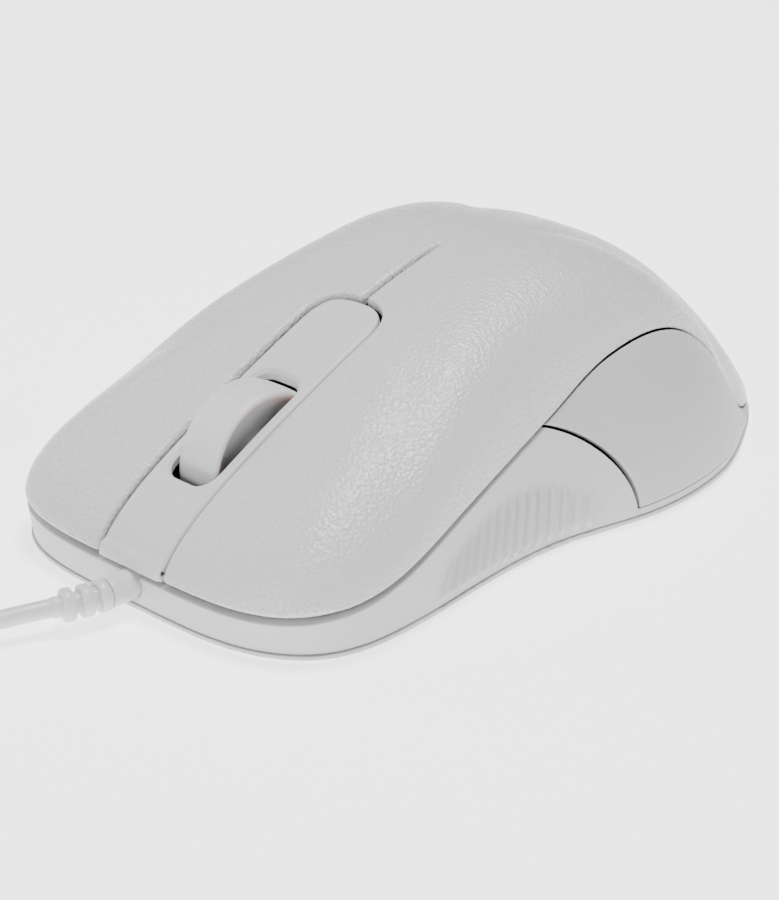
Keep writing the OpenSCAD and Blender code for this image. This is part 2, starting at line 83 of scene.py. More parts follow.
# Centre strip, wheel and grips
STRIP_HALF = 5.9
STRIP_GAP = 0.4
STRIP_REAR = -13.6
STRIP_C = STRIP_REAR - STRIP_HALF
STRIP_N = 2.5
STRIP_DROP = 0.45
STRIP_WALL = 1.3
NOSE_Z = 6.2
SLOT_HALF = 4.0
SLOT_LEN = 18.6
SLOT_Y = -37.9
SLOT_CORNER = 2.4
WHEEL_Y = -35.0
WHEEL_Z = 14.6
TREAD_RIBS = 26
TREAD_DEPTH = 0.12
SLIT = 0.27
PANEL_END = 45.3
RIB_COUNT = 14
RIB_FROM = -30.6
RIB_PITCH = 2.3
RIB_H = 0.75
RIB_HALF = 0.7

# Cable, strain relief and plug
CABLE_D = 2.5
RELIEF_R = 2.1
RELIEF_FROM = -52.0
RELIEF_TO = -68.42
RELIEF_BEND = -60.5
RELIEF_Z = 3.9
HOLE_R = 2.25
LEAD = [(-2.6, -68.4, 3.7), (-4.9, -73.9, 3.5), (-7.4, -79.5, 3), (-10.2, -85, 2.3),
        (-13, -90.5, 1.6), (-15.6, -96, 1.3), (-17.3, -101, 1.3), (-17.8, -106, 1.3)]
TAIL = [(-54.3, -106, 8.7), (-54.5, -101, 8.2), (-55.1, -96, 6.8),
        (-55.7, -91, 5.1), (-56, -87, 4.1), (-56, -83, 3.8)]
CABLE_TIP = (-56, -79, 3.8)
COIL_C = (-36.0, -106.0)
COIL_R = 14.5
COIL_TURNS = 15.5
COIL_LAYERS = 4
BUNDLE = 10.0
PLUG_AT = (-56.0, -83.2, 3.8)
PLUG_HALF = 6.0
PLUG_HALF_T = 3.6

# Lights: name, place and target in metres, side length in metres, power in watts
LIGHTS = [("top", (0.03, 0.1, 0.8), (0, -0.01, 0.02), 0.3, 10),
          ("front", (0.12, -0.95, 0.35), (0, -0.03, 0.01), 0.3, 5),
          ("left", (-0.8, -0.1, 0.5), (0, 0, 0.02), 0.5, 2.5)]
WORLD_LIGHT = 0.2
FLOOR_SIZE = 60
FLOOR_Z = -0.00002
FLOOR_GLOW = 1.7

MIRROR = np.array([-1, 1, 1.0])


# ---------------------------------------------------------------- camera

def make_camera():
    """Camera at the photograph's angle: azimuth 43.4 degrees, elevation 25 degrees."""
    data = bpy.data.cameras.new("camera")
    camera = bpy.data.objects.new("camera", data)
    bpy.context.scene.collection.objects.link(camera)
    camera.location = CAMERA_AT
    back = Vector(CAMERA_BACK).normalized()
    right = Vector((0, 0, 1)).cross(back).normalized()
    up = back.cross(right)
    turn = Matrix((right, up, back)).transposed()
    camera.rotation_euler = turn.to_euler()
    data.lens = LENS
    data.sensor_width = SENSOR
    data.clip_start = 0.01
    bpy.context.scene.camera = camera


# ---------------------------------------------------------------- surface functions

def curve(pts, y):
    """Smooth curve through control pairs."""
    p = np.array(pts, float)
    y = np.clip(np.asarray(y, float), p[0, 0], p[-1, 0])
    i = np.clip(np.searchsorted(p[:, 0], y, side="right") - 1, 0, len(p) - 2)
    low = np.maximum(np.arange(len(p)) - 1, 0)
    high = np.minimum(np.arange(len(p)) + 1, len(p) - 1)
    slope = (p[high, 1] - p[low, 1]) / (p[high, 0] - p[low, 0])
    h = p[i + 1, 0] - p[i, 0]
    t = (y - p[i, 0]) / h
    return (p[i, 1] * (2 * t ** 3 - 3 * t ** 2 + 1) + slope[i] * h * (t ** 3 - 2 * t ** 2 + t)
            + p[i + 1, 1] * (3 * t ** 2 - 2 * t ** 3) + slope[i + 1] * h * (t ** 3 - t ** 2))


def smooth(t):
    """Ease from 0 to 1, flat at both ends."""
    k = np.clip(t, 0, 1)
    return k * k * (3 - 2 * k)


def power_of(y):
    """Power of the outline's superellipse in front of the flex line and behind it."""
    return np.where(np.asarray(y) < FLEX_Y, FRONT_N, REAR_N)


def reach_of(y):
    """Length of the outline in front of the flex line and behind it."""
    return np.where(np.asarray(y) < FLEX_Y, FRONT_LEN, REAR_LEN)


def half_x(pts, y, inset=0.0):
    """Half width of the outline at y, moved in by inset."""
    n = power_of(y)
    f = np.clip(np.abs(y - FLEX_Y) / (reach_of(y) - inset), 0, 1)
    return (curve(pts, y) - inset) * (1 - f ** n) ** (1 / n)


def inset_y(y, inset):
    """Place along an outline moved in by inset for a place along the full outline."""
    return FLEX_Y + (y - FLEX_Y) * (reach_of(y) - inset) / reach_of(y)


def plan_radius(x, y):
    """1 on the outline of the upper surface and 0 at its middle."""
    n = power_of(y)
    return ((np.abs(x) / curve(EDGE_HALF, y)) ** n + (np.abs(y - FLEX_Y) / reach_of(y)) ** n) ** (1 / n)


def top_z(x, y):
    """Height of the upper surface over a plan point."""
    rr = np.clip(plan_radius(x, y), 0.001, 1)
    ye = FLEX_Y + (y - FLEX_Y) / rr
    ze = curve(EDGE, ye)
    front_q, rear_q = 1.85, 1.5
    q = front_q - (front_q - rear_q) * smooth((ye + 25) / 50)
    return ze + (curve(CROWN, y) - ze) * (1 - rr ** curve(ROUND, ye)) ** (1 / q)


def top_normal(x, y):
    """Outward normal of the upper surface, taken just inside its outline."""
    limit = 0.9994
    rr = np.maximum(plan_radius(x, y), 1e-6)
    k = np.minimum(1, limit / rr)
    px = x * k
    py = FLEX_Y + (y - FLEX_Y) * k
    h = 0.01
    zx = (top_z(px + h, py) - top_z(px - h, py)) / (2 * h)
    zy = (top_z(px, py + h) - top_z(px, py - h)) / (2 * h)
    n = np.stack([-zx, -zy, np.ones_like(zx)], -1)
    return n / np.linalg.norm(n, axis=-1, keepdims=True)


def side(y0, k, top=1.0, inset=0.0):
    """Point on the side wall: k runs from the base (0) to the edge of the upper surface (1)."""
    y = inset_y(y0, inset)
    a = half_x(EDGE_HALF, y, inset)
    b = half_x(BASE_HALF, y, inset)
    rear_bow = 1.7
    out = 1 - k ** (1 + rear_bow * smooth((y + 15) / 30))
    return np.stack([a + (b - a) * out, y, WALL_Z + (curve(EDGE, y0) - WALL_Z) * k * top], -1)


# ---------------------------------------------------------------- grids and meshes

def along(points, share):
    """Points at given shares of a polyline's length."""
    p = np.asarray(points, float)
    run = np.concatenate([[0], np.cumsum(np.linalg.norm(np.diff(p, axis=0), axis=1))])
    return np.stack([np.interp(np.asarray(share) * run[-1], run, p[:, i]) for i in range(p.shape[1])], -1)


def outline_points(front, count=3000):
    """The upper surface's outline on the +X side, from the middle of an end to the flex line."""
    t = np.linspace(0, 1, count)
    y = FRONT_Y + FRONT_LEN * t ** 4 if front else -FRONT_Y - REAR_LEN * t ** 3
    return np.stack([half_x(EDGE_HALF, y), y], -1)


def coons(west, east, south, north):
    """Plan patch between four curves: west and east run with v, south and north with u."""
    def at(u, v):
        w, e, s, n = along(west, v), along(east, v), along(south, u), along(north, u)
        u, v = u[..., None], v[..., None]
        corners = ((1 - u) * (1 - v) * south[0] + u * (1 - v) * south[-1]
                   + (1 - u) * v * north[0] + u * v * north[-1])
        return (1 - v) * s + v * n + (1 - u) * w + u * e - corners
    return at


# Rows over a rounded edge, as shares of its radius
EDGE_STEPS = np.array([0.0, 0.08, 0.3, 0.62, 1.0])


def edge_params(surface, count, r0, r1, across, warp):
    """Parameters along one direction, with extra rows for the rounded ends, one set per line across."""
    dense = warp(np.linspace(0, 1, 401))
    out = []
    for a in across:
        points = surface(dense, np.full_like(dense, a))
        run = np.concatenate([[0], np.cumsum(np.linalg.norm(np.diff(points, axis=0), axis=1))])
        total = run[-1]
        head = EDGE_STEPS * r0 if r0 else np.array([0.0])
        tail = total - EDGE_STEPS[::-1] * r1 if r1 else np.array([total])
        middle = np.linspace(head[-1], tail[0], count + 2)[1:-1]
        out.append(np.interp(np.concatenate([head, middle, tail]), run, dense))
    head_d = 1 - EDGE_STEPS if r0 else np.array([0.0])
    tail_d = (1 - EDGE_STEPS)[::-1] if r1 else np.array([0.0])
    near = np.concatenate([head_d, np.zeros(count), tail_d])
    return np.array(out), near


# Spacings of a patch's rows: closer at the end, at the start, even, and closer at both ends
def ease_out(t):
    return 1 - (1 - t) ** 2


def ease_in(t):
    return t ** 2


def even(t):
    return t


def ease_both(t):
    return 0.5 - 0.5 * np.cos(math.pi * t)


def patch_grid(surface, nu, nv, radii, warp_u=even, warp_v=even):
    """Grid over a surface(u, v), re-spaced by length. radii are the edge roundings: u=0, u=1, v=0, v=1."""
    lines_v = nv + sum(len(EDGE_STEPS) if r else 1 for r in radii[2:])
    at_v = warp_v(np.linspace(0, 1, lines_v))
    u_rows, near_u = edge_params(surface, nu, radii[0], radii[1], at_v, warp_u)
    at_u = warp_u(np.linspace(0, 1, u_rows.shape[1]))
    v, near_v = edge_params(lambda a, b: surface(b, a), nv, radii[2], radii[3], at_u, warp_v)
    u = np.empty_like(v)
    for i in range(u.shape[0]):
        u[i] = np.interp(v[i], at_v, u_rows[:, i])
    near = np.sqrt(np.clip(near_u[:, None] ** 2 + near_v[None, :] ** 2, 0, 1))
    r = max(radii)
    depth = r * (1 - np.sqrt(np.clip(1 - near ** 2, 0, 1)))
    return u, v, depth


def grid_normals(points):
    """Normals of a grid of points by finite differences: along u crossed with along v."""
    du = np.gradient(points, axis=0)
    dv = np.gradient(points, axis=1)
    n = np.cross(du, dv)
    length = np.linalg.norm(n, axis=-1, keepdims=True)
    return n / np.maximum(length, 1e-9)


def shell(name, outer, inner, shading=None, normals=None):
    """Closed shell from two grids of points: the outer face, the inner face and the rim between them.
    shading holds the outer face's shading normals, and normals are the grid's own, for the inner face."""
    m, n = outer.shape[:2]
    points = np.concatenate([outer.reshape(-1, 3), inner.reshape(-1, 3)]) * MM
    idx = np.arange(m * n).reshape(m, n)
    a, b, c, d = idx[:-1, :-1], idx[1:, :-1], idx[1:, 1:], idx[:-1, 1:]
    top = np.stack([a, b, c, d], -1).reshape(-1, 4)
    low = np.stack([d, c, b, a], -1).reshape(-1, 4) + m * n
    loop = np.concatenate([idx[:-1, 0], idx[-1, :-1], idx[:0:-1, -1], idx[0, :0:-1]])
    nxt = np.roll(loop, -1)
    rim = np.stack([nxt, loop, loop + m * n, nxt + m * n], -1)
    mesh = bpy.data.meshes.new(name)
    mesh.from_pydata(points.tolist(), [], np.concatenate([top, low, rim]).tolist())
    mesh.update()
    obj = bpy.data.objects.new(name, mesh)
    bpy.context.scene.collection.objects.link(obj)
    mesh.shade_smooth()
    if shading is not None:
        per_vertex = np.concatenate([shading.reshape(-1, 3), -normals.reshape(-1, 3)])
        loops = np.empty(len(mesh.loops), int)
        mesh.loops.foreach_get("vertex_index", loops)
        custom = per_vertex[loops]
        rim_from = 4 * (len(top) + len(low))
        face_normals = np.empty(len(mesh.polygons) * 3)
        mesh.polygons.foreach_get("normal", face_normals)
        rim_normals = face_normals.reshape(-1, 3)[len(top) + len(low):]
        custom[rim_from:] = np.repeat(rim_normals, 4, axis=0)
        mesh.normals_split_custom_set(custom.tolist())
    return obj


def tilt(points, depth, normals):
    """Shading normals: the surface's own where it isn't rounded, and the rounded grid's near an edge."""
    rounded = grid_normals(points)
    steepness = 12
    mix = smooth(depth / max(depth.max(), 1e-9) * steepness)[..., None]
    n = normals * (1 - mix) + rounded * mix
    return n / np.linalg.norm(n, axis=-1, keepdims=True)


def mesh_from(name, verts, faces, sharp=None):
    """Object from points in millimetres, smooth apart from edges over the sharp angle."""
    mesh = bpy.data.meshes.new(name)
    mesh.from_pydata((np.asarray(verts, float) * MM).tolist(), [], faces)
    mesh.update()
    mesh.shade_smooth()
    if sharp is not None:
        mesh.set_sharp_from_angle(angle=math.radians(sharp))
    obj = bpy.data.objects.new(name, mesh)
    bpy.context.scene.collection.objects.link(obj)
    return obj


def join(name, parts):
    """One object from several."""
    bpy.ops.object.select_all(action="DESELECT")
    for p in parts:
        p.select_set(True)
    bpy.context.view_layer.objects.active = parts[0]
    bpy.ops.object.join()
    parts[0].name = name
    return parts[0]


def wrap_faces(rows, columns, ring=False, flip=False):
    """Faces of a grid whose rows are closed loops: a ring closes on itself, and a tube gets two caps."""
    idx = np.arange(rows * columns).reshape(rows, columns)
    nxt = np.roll(idx, -1, axis=1)
    if ring:
        quads = np.stack([idx, np.roll(idx, -1, axis=0), np.roll(nxt, -1, axis=0), nxt], -1)
        faces = quads.reshape(-1, 4).tolist()
    else:
        quads = np.stack([idx[:-1], idx[1:], nxt[1:], nxt[:-1]], -1)
        faces = quads.reshape(-1, 4).tolist() + [idx[0].tolist(), idx[-1, ::-1].tolist()]
    return [face[:1] + face[:0:-1] for face in faces] if flip else faces


def lathe(name, profile, steps, place, ring=False, sharp=50):
    """Solid of revolution. profile is (radius, along) pairs; place maps (radius, angle, along) to points."""
    profile = np.array(profile)
    angles = np.linspace(0, 2 * math.pi, steps, endpoint=False)
    r, a = np.meshgrid(profile[:, 0], angles, indexing="ij")
    x = np.repeat(profile[:, 1:2], steps, axis=1)
    points = place(r, a, x)
    return mesh_from(name, points.reshape(-1, 3), wrap_faces(*r.shape, ring, flip=True), sharp)


def subtract(obj, cutter):
    """Cut a closed shape out of a piece and remove the cutter."""
    cut_mod = obj.modifiers.new("cut", "BOOLEAN")
    cut_mod.operation = "DIFFERENCE"
    cut_mod.object = cutter
    cut_mod.solver = "EXACT"
    apply_modifiers(obj)
    bpy.data.objects.remove(cutter)


# ---------------------------------------------------------------- materials

def material(name, color, rough=0.45, bumps=(), mottle=0.02, rough_var=0.08, **sockets):
    """Moulded plastic or rubber: layered grain, slight colour mottling and varied roughness.
    bumps are (kind, scale per metre, height) layers."""
    m = bpy.data.materials.new(name)
    m.use_nodes = True
    tree = m.node_tree
    nodes, links = tree.nodes, tree.links
    shader = nodes["Principled BSDF"]
    shader.inputs["Roughness"].default_value = rough
    for key, value in sockets.items():
        shader.inputs[key.replace("_", " ")].default_value = value
    place = nodes.new("ShaderNodeTexCoord")

    def noise(scale, detail=3.0, kind="noise"):
        if kind == "cells":
            t = nodes.new("ShaderNodeTexVoronoi")
            t.feature = "SMOOTH_F1"
            t.inputs["Smoothness"].default_value = 0.6
            out = t.outputs["Distance"]
        else:
            t = nodes.new("ShaderNodeTexNoise")
            t.inputs["Detail"].default_value = detail
            out = t.outputs["Fac"]
        t.inputs["Scale"].default_value = scale
        links.new(place.outputs["Object"], t.inputs["Vector"])
        return out

    def remap(source, low, high, to_low, to_high):
        r = nodes.new("ShaderNodeMapRange")
        r.inputs["From Min"].default_value = low
        r.inputs["From Max"].default_value = high
        r.inputs["To Min"].default_value = to_low
        r.inputs["To Max"].default_value = to_high
        links.new(source, r.inputs["Value"])
        return r.outputs["Result"]

    tint = nodes.new("ShaderNodeMix")
    tint.data_type = "RGBA"
    dark = [c * (1 - mottle) for c in color]
    light = [min(1, c * (1 + mottle)) for c in color]
    tint.inputs["A"].default_value = (*dark, 1)
    tint.inputs["B"].default_value = (*light, 1)
    links.new(noise(90, 4), tint.inputs["Factor"])
    links.new(tint.outputs["Result"], shader.inputs["Base Color"])
    varied = remap(noise(700, 4), 0.3, 0.7, rough - rough_var, rough + rough_var)
    links.new(varied, shader.inputs["Roughness"])
    below = None
    for kind, scale, height in bumps:
        bump = nodes.new("ShaderNodeBump")
        bump.inputs["Strength"].default_value = 1.0
        bump.inputs["Distance"].default_value = height
        links.new(noise(scale, 2, kind), bump.inputs["Height"])
        if below is not None:
            links.new(below.outputs["Normal"], bump.inputs["Normal"])
        below = bump
    if below is not None:
        links.new(below.outputs["Normal"], shader.inputs["Normal"])
    return m


def make_materials():
    """One material per slot of the part."""
    return {
        "shell": material("shell_grain", (0.56, 0.56, 0.565), 0.29, mottle=0.012, rough_var=0.09,
                          bumps=[("cells", 1900, 0.00015), ("noise", 3600, 0.00006)],
                          Specular_IOR_Level=0.5),
        "strip": material("strip_satin", (0.56, 0.56, 0.565), 0.42, mottle=0.008,
                          bumps=[("noise", 5200, 0.000012)]),
        "frame": material("frame_matte", (0.54, 0.54, 0.545), 0.5, mottle=0.01,
                          bumps=[("noise", 4200, 0.00002)]),
        # The panel's colour is darker than the shell's: painted shade for side panels that face sideways and
        # down
        "panel": material("panel_matte_painted_shade", (0.46, 0.46, 0.465), 0.55, mottle=0.01,
                          bumps=[("noise", 3600, 0.00003), ("noise", 900, 0.00001)]),
        "glide": material("glide_tape", (0.84, 0.84, 0.83), 0.4, bumps=[("noise", 2500, 0.00001)]),
        "board": material("board_lacquer", (0.03, 0.2, 0.08), 0.3, mottle=0.15,
                          bumps=[("noise", 1500, 0.00002)]),
        "chip": material("chip_moulded", (0.025, 0.025, 0.028), 0.5, bumps=[("noise", 6000, 0.00002)]),
        "lens": material("lens_clear", (0.9, 0.93, 0.96), 0.08, rough_var=0.03, mottle=0.005,
                         Transmission_Weight=0.85, IOR=1.49),
        "led": material("led_tinted", (0.75, 0.08, 0.05), 0.15, rough_var=0.04, Transmission_Weight=0.4),
        "plunger": material("plunger_red", (0.62, 0.1, 0.07), 0.4, bumps=[("noise", 4000, 0.00001)]),
        "tyre": material("tyre_soft", (0.62, 0.62, 0.615), 0.42, mottle=0.015,
                         bumps=[("noise", 1800, 0.00002)], Subsurface_Weight=0.35, Subsurface_Scale=0.004),
        "hub": material("hub_white", (0.78, 0.78, 0.76), 0.38, bumps=[("noise", 3000, 0.00001)]),
        "steel": material("steel_ground", (0.55, 0.55, 0.57), 0.3, bumps=[("noise", 5000, 0.00002)],
                          Metallic=1.0),
        "cable": material("cable_vinyl", (0.60, 0.60, 0.605), 0.38, mottle=0.015,
                          bumps=[("noise", 900, 0.00003), ("noise", 3800, 0.00001)],
                          Subsurface_Weight=0.1, Subsurface_Scale=0.002),
        "tie": material("tie_coated", (0.70, 0.70, 0.70), 0.4, bumps=[("noise", 2500, 0.00003)]),
        "plated": material("plated_nickel", (0.70, 0.70, 0.72), 0.2, rough_var=0.06,
                           bumps=[("noise", 1200, 0.00001)], Metallic=1.0),
    }


def dress(obj, slot, body="root", stands_for=()):
    """Give a piece its material, its body and the nodes that it replaces."""
    obj.data.materials.clear()
    obj.data.materials.append(MATERIALS[slot])
    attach(obj, body)
    if stands_for:
        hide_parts(*stands_for)
    return obj


# ---------------------------------------------------------------- cable, coil and plug

def relief_path(y):
    """Centre of the strain relief at y: straight out of the case, then bending to -X and down."""
    bend_len, aside, down = 8.0, 2.6, 0.2
    t = np.clip((RELIEF_BEND - y) / bend_len, 0, 1.2)
    return np.stack([-aside * t ** 1.6, y, RELIEF_Z - down * t ** 1.5], -1)


def coil_points():
    """Turns of the coil: layers of turns as wide as the bundle, each layer back over the last one."""
    per_layer = round(BUNDLE / CABLE_D)
    radii = [COIL_R + BUNDLE / 2 - CABLE_D / 2 - CABLE_D * i for i in range(per_layer)]
    steps = 24
    step_over = 0.28
    turns = []
    for layer in range(COIL_LAYERS):
        order = radii if layer % 2 == 0 else radii[::-1]
        for r in order:
            turns.append((r, CABLE_D / 2 + CABLE_D * layer))
    total = int(COIL_TURNS * steps)
    points = []
    for i in range(total + 1):
        at = i / steps
        k = min(int(at), len(turns) - 1)
        nxt = min(k + 1, len(turns) - 1)
        f = smooth((at - k - (1 - step_over)) / step_over)
        r = turns[k][0] + (turns[nxt][0] - turns[k][0]) * f
        z = turns[k][1] + (turns[nxt][1] - turns[k][1]) * f
        angle = -2 * math.pi * at
        points.append((COIL_C[0] + r * math.cos(angle), COIL_C[1] + r * math.sin(angle), float(z)))
    return points


def make_cable():
    """The whole cable as one curve: out of the relief, to the coil, round it and on to the plug.
    LEAD ends and TAIL starts on the coil, which has those points itself. Also gives the length in metres."""
    inside = [tuple(relief_path(np.array(float(y)))) for y in (-57.5, -60.5, -63, -65.5)]
    route = inside + LEAD[:-1] + coil_points() + TAIL[1:] + [CABLE_TIP]
    data = bpy.data.curves.new("cable_line", "CURVE")
    data.dimensions = "3D"
    data.bevel_depth = CABLE_D / 2 * MM
    data.bevel_resolution = 6
    data.resolution_u = 6
    data.use_fill_caps = True
    spline = data.splines.new("BEZIER")
    spline.bezier_points.add(len(route) - 1)
    for point, p in zip(spline.bezier_points, route):
        point.co = [c * MM for c in p]
        point.handle_left_type = point.handle_right_type = "AUTO"
    obj = bpy.data.objects.new("cable_line", data)
    bpy.context.scene.collection.objects.link(obj)
    knots = spline.bezier_points
    return obj, sum((a.co - b.co).length for a, b in zip(knots[:-1], knots[1:]))


def make_relief():
    """Strain relief: round sleeve, then three rings that bend to one side."""
    neck, chamfer = 1.5, 0.14
    # (place along the relief, radius) pairs: the sleeve, the rings, then the end that holds the cable
    stations = [(y, RELIEF_R) for y in np.linspace(RELIEF_FROM, -60.9, 14)] + [(-61.2, 2.05)]
    for start, top in ((-61.3, 2.2), (-63.55, 2.2), (-65.8, 2.25)):
        stations += [(start, neck), (start - 0.06, top - chamfer), (start - 0.22, top),
                     (start - 0.8, top + 0.02), (start - 1.2, top), (start - 1.36, top - chamfer),
                     (start - 1.42, neck), (start - 1.8, 1.42)]
    stations += [(-67.9, 1.42), (-68.3, 1.4), (RELIEF_TO, 1.28)]
    stations = np.array(stations)
    centre = relief_path(stations[:, 0])
    lookup = np.linspace(RELIEF_FROM, RELIEF_TO, 200)
    step = np.gradient(relief_path(lookup), axis=0)
    step /= np.linalg.norm(step, axis=1, keepdims=True)
    direction = np.stack([np.interp(-stations[:, 0], -lookup, step[:, i]) for i in range(3)], -1)
    sideways = np.cross(direction, [0, 0, 1.0])
    sideways /= np.linalg.norm(sideways, axis=1, keepdims=True)
    lift = np.cross(sideways, direction)
    angles = np.linspace(0, 2 * math.pi, 64, endpoint=False)
    r = stations[:, 1][:, None, None]
    points = (centre[:, None] + r * (np.cos(angles)[None, :, None] * sideways[:, None]
                                     + np.sin(angles)[None, :, None] * lift[:, None]))
    faces = wrap_faces(len(stations), len(angles))
    return mesh_from("strain_boot", points.reshape(-1, 3), faces, sharp=42)


def rounded_box(name, low, high, radius, segments=4):
    """Box with rounded edges."""
    mesh = bpy.data.meshes.new(name)
    x0, y0, z0 = low
    x1, y1, z1 = high
    verts = [(x, y, z) for z in (z0, z1) for y in (y0, y1) for x in (x0, x1)]
    faces = [(0, 2, 3, 1), (4, 5, 7, 6), (0, 1, 5, 4), (2, 6, 7, 3), (0, 4, 6, 2), (1, 3, 7, 5)]
    mesh.from_pydata((np.array(verts) * MM).tolist(), [], faces)
    obj = bpy.data.objects.new(name, mesh)
    bpy.context.scene.collection.objects.link(obj)
    bevel = obj.modifiers.new("bevel", "BEVEL")
    bevel.width = radius * MM
    bevel.segments = segments
    apply_modifiers(obj)
    obj.data.shade_smooth()
    obj.data.set_sharp_from_angle(angle=math.radians(50))
    return obj


def apply_modifiers(obj):
    """Bake an object's modifiers into its mesh."""
    bpy.context.view_layer.update()
    deps = bpy.context.evaluated_depsgraph_get()
    mesh = bpy.data.meshes.new_from_object(obj.evaluated_get(deps))
    obj.modifiers.clear()
    obj.data = mesh


def make_plug():
    """Plug body: rounded block with grip ridges on both sides and a tapered ringed sleeve."""
    x, y, z = PLUG_AT
    low = (x - PLUG_HALF, y + 6, z - PLUG_HALF_T)
    high = (x + PLUG_HALF, y + 26, z + PLUG_HALF_T)
    parts = [rounded_box("plug_grip", low, high, 1.2)]
    groove_pitch = 1.9
    half, long, tall = 0.62, 0.9, 2.0
    for i in range(5):
        ridge_y = y + 10.5 + groove_pitch * i
        for s in (-1, 1):
            mid = x + s * (PLUG_HALF - 0.5)
            parts.append(rounded_box("ridge", (mid - half, ridge_y, z - tall),
                                     (mid + half, ridge_y + long, z + tall), 0.3, 3))
    # The sleeve in front of the block: (radius, distance along) pairs, with three rings that grow
    profile = [(1.3, -0.1), (1.62, 0.0), (1.7, 0.25)]
    for i in range(3):
        base = 0.6 + groove_pitch * i
        r = 1.9 + 0.2 * i
        valley = 1.65 + 0.1 * i
        profile += [(valley, base), (r, base + 0.12), (r + 0.08, base + 0.4),
                    (r + 0.08, base + 0.95), (r, base + 1.25), (valley, base + 1.4)]
    profile += [(2.3, 5.9), (2.4, 6.4), (2.4, 7.5)]

    def place(r, a, along_y):
        return np.stack([x + r * np.cos(a), y + along_y, z + r * np.sin(a)], -1)

    parts.append(lathe("plug_sleeve", profile, 48, place, sharp=45))
    return join("plug_grip", parts)


def make_tie():
    """Flat coated tie: a band round the bundle, with its wire as a ridge along the middle."""
    cx, cy = COIL_C[0], COIL_C[1] + COIL_R
    half_y, top = BUNDLE / 2 + 0.05, BUNDLE + 0.05
    t, r = 0.55, 1.4
    mid_t = 0.5
    steps = 12
    loop = []
    corners = [(half_y + t - r, top + t - r, 0), (-(half_y + t - r), top + t - r, 90),
               (-(half_y + t - r), r, 180), (half_y + t - r, r, 270)]
    for oy, oz, start in corners:
        for k in range(steps + 1):
            a = math.radians(start + 90 * k / steps)
            loop.append((cy + oy + r * math.cos(a), oz + r * math.sin(a), math.cos(a), math.sin(a)))
    loop = np.array(loop)
    # The band's section: (place across, height) pairs
    cross = [(-1.7, 0.0), (-1.9, 0.12), (-1.7, 0.26), (-0.55, 0.3), (-0.35, 0.5), (0.35, 0.5), (0.55, 0.3),
             (1.7, 0.26), (1.9, 0.12), (1.7, 0.0)]
    rings = []
    for w, h in cross:
        y = loop[:, 0] + (h - mid_t) * loop[:, 2]
        z = loop[:, 1] + (h - mid_t) * loop[:, 3]
        rings.append(np.stack([np.full(len(loop), cx + w), y, np.maximum(z, 0.02)], -1))
    faces = wrap_faces(len(rings), len(loop), ring=True)
    return mesh_from("tie_band", np.concatenate(rings), faces, sharp=40)


# ---------------------------------------------------------------- case

def inner_x(y):
    """Inner edge of a button: along the strip, round its end, then along the slit."""
    g = STRIP_HALF + STRIP_GAP
    slit_end, closed = 3.0, 0.012
    f = np.clip((y - STRIP_C) / g, 0, 1)
    bend = g * (1 - f ** STRIP_N) ** (1 / STRIP_N)
    narrow = SLIT * (1 - smooth((y + 1) / (slit_end + 1))) + closed
    return np.where(y <= STRIP_C, g, np.maximum(bend, narrow))


def make_button(name, s, body):
    """A button, on side s of the middle: curved skin with rounded edges that runs without a gap into the
    cover at the flex line. body is the node that it replaces."""
    outline = outline_points(True)
    corner_x, corner_y = 30.3, -47.6
    corner = int(np.argmin(np.hypot(outline[:, 0] - corner_x, outline[:, 1] - corner_y)))
    start = int(np.argmin(np.abs(outline[:, 0] - inner_x(FRONT_Y))))
    south = outline[start:corner + 1]
    east = outline[corner:]
    y_in = np.linspace(south[0, 1], FLEX_Y, 1500)
    bend = STRIP_C + (STRIP_HALF + STRIP_GAP) * np.sin(np.linspace(0, math.pi / 2, 500))
    y_in = np.sort(np.concatenate([y_in, bend]))
    west = np.stack([inner_x(y_in), y_in], -1)
    west[0] = south[0]
    north = np.stack([np.linspace(west[-1, 0], east[-1, 0], 400), np.full(400, FLEX_Y)], -1)
    plan = coons(west, east, south, north)

    def surface(u, v):
        p = plan(u, v)
        return np.stack([p[..., 0], p[..., 1], top_z(p[..., 0], p[..., 1])], -1)

    r = 0.75
    outer_r = r * 0.7
    u, v, depth = patch_grid(surface, 44, 92, (r, outer_r, outer_r, 0), ease_out, ease_in)
    points = surface(u, v)
    fade_from, fade_len, slit_side = 0.5, 3.0, 0.2
    fade = 1 - smooth((points[..., 1] - fade_from) / fade_len) * (u < slit_side)
    depth = depth * fade
    normals = top_normal(points[..., 0], points[..., 1])
    outer = points - normals * depth[..., None]
    inner = points - normals * WALL
    shading = tilt(outer, depth, normals)
    if s < 0:
        outer, inner, shading, normals = [g[::-1] * MIRROR for g in (outer, inner, shading, normals)]
    obj = shell(name, outer, inner, shading, normals)
    obj.data.materials.append(MATERIALS["shell"])
    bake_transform(obj)
    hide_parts(body)
    return obj


def make_cover():
    """The top cover behind the flex line."""
    outline = outline_points(False)
    turn_y, turn = 22, 50
    heading = np.arctan2(outline[:, 1] - turn_y, outline[:, 0])
    corner = int(np.argmin(np.abs(heading - math.radians(turn))))
    east = outline[corner:][::-1]
    rear_half = outline[:corner + 1]
    north = np.concatenate([rear_half[::-1] * [-1, 1], rear_half[1:]])
    west = east * [-1, 1]
    south = np.stack([np.linspace(west[0, 0], east[0, 0], 400), np.full(400, FLEX_Y)], -1)
    plan = coons(west, east, south, north)

    def surface(u, v):
        p = plan(u, v)
        return np.stack([p[..., 0], p[..., 1], top_z(p[..., 0], p[..., 1])], -1)

    r = 0.5
    u, v, depth = patch_grid(surface, 90, 64, (r, r, 0, r), ease_both, ease_out)
    points = surface(u, v)
    normals = top_normal(points[..., 0], points[..., 1])
    outer = points - normals * depth[..., None]
    inner = points - normals * WALL
    obj = shell("cover_shell", outer, inner, tilt(outer, depth, normals), normals)
    return dress(obj, "shell", "root", ["top_cover"])


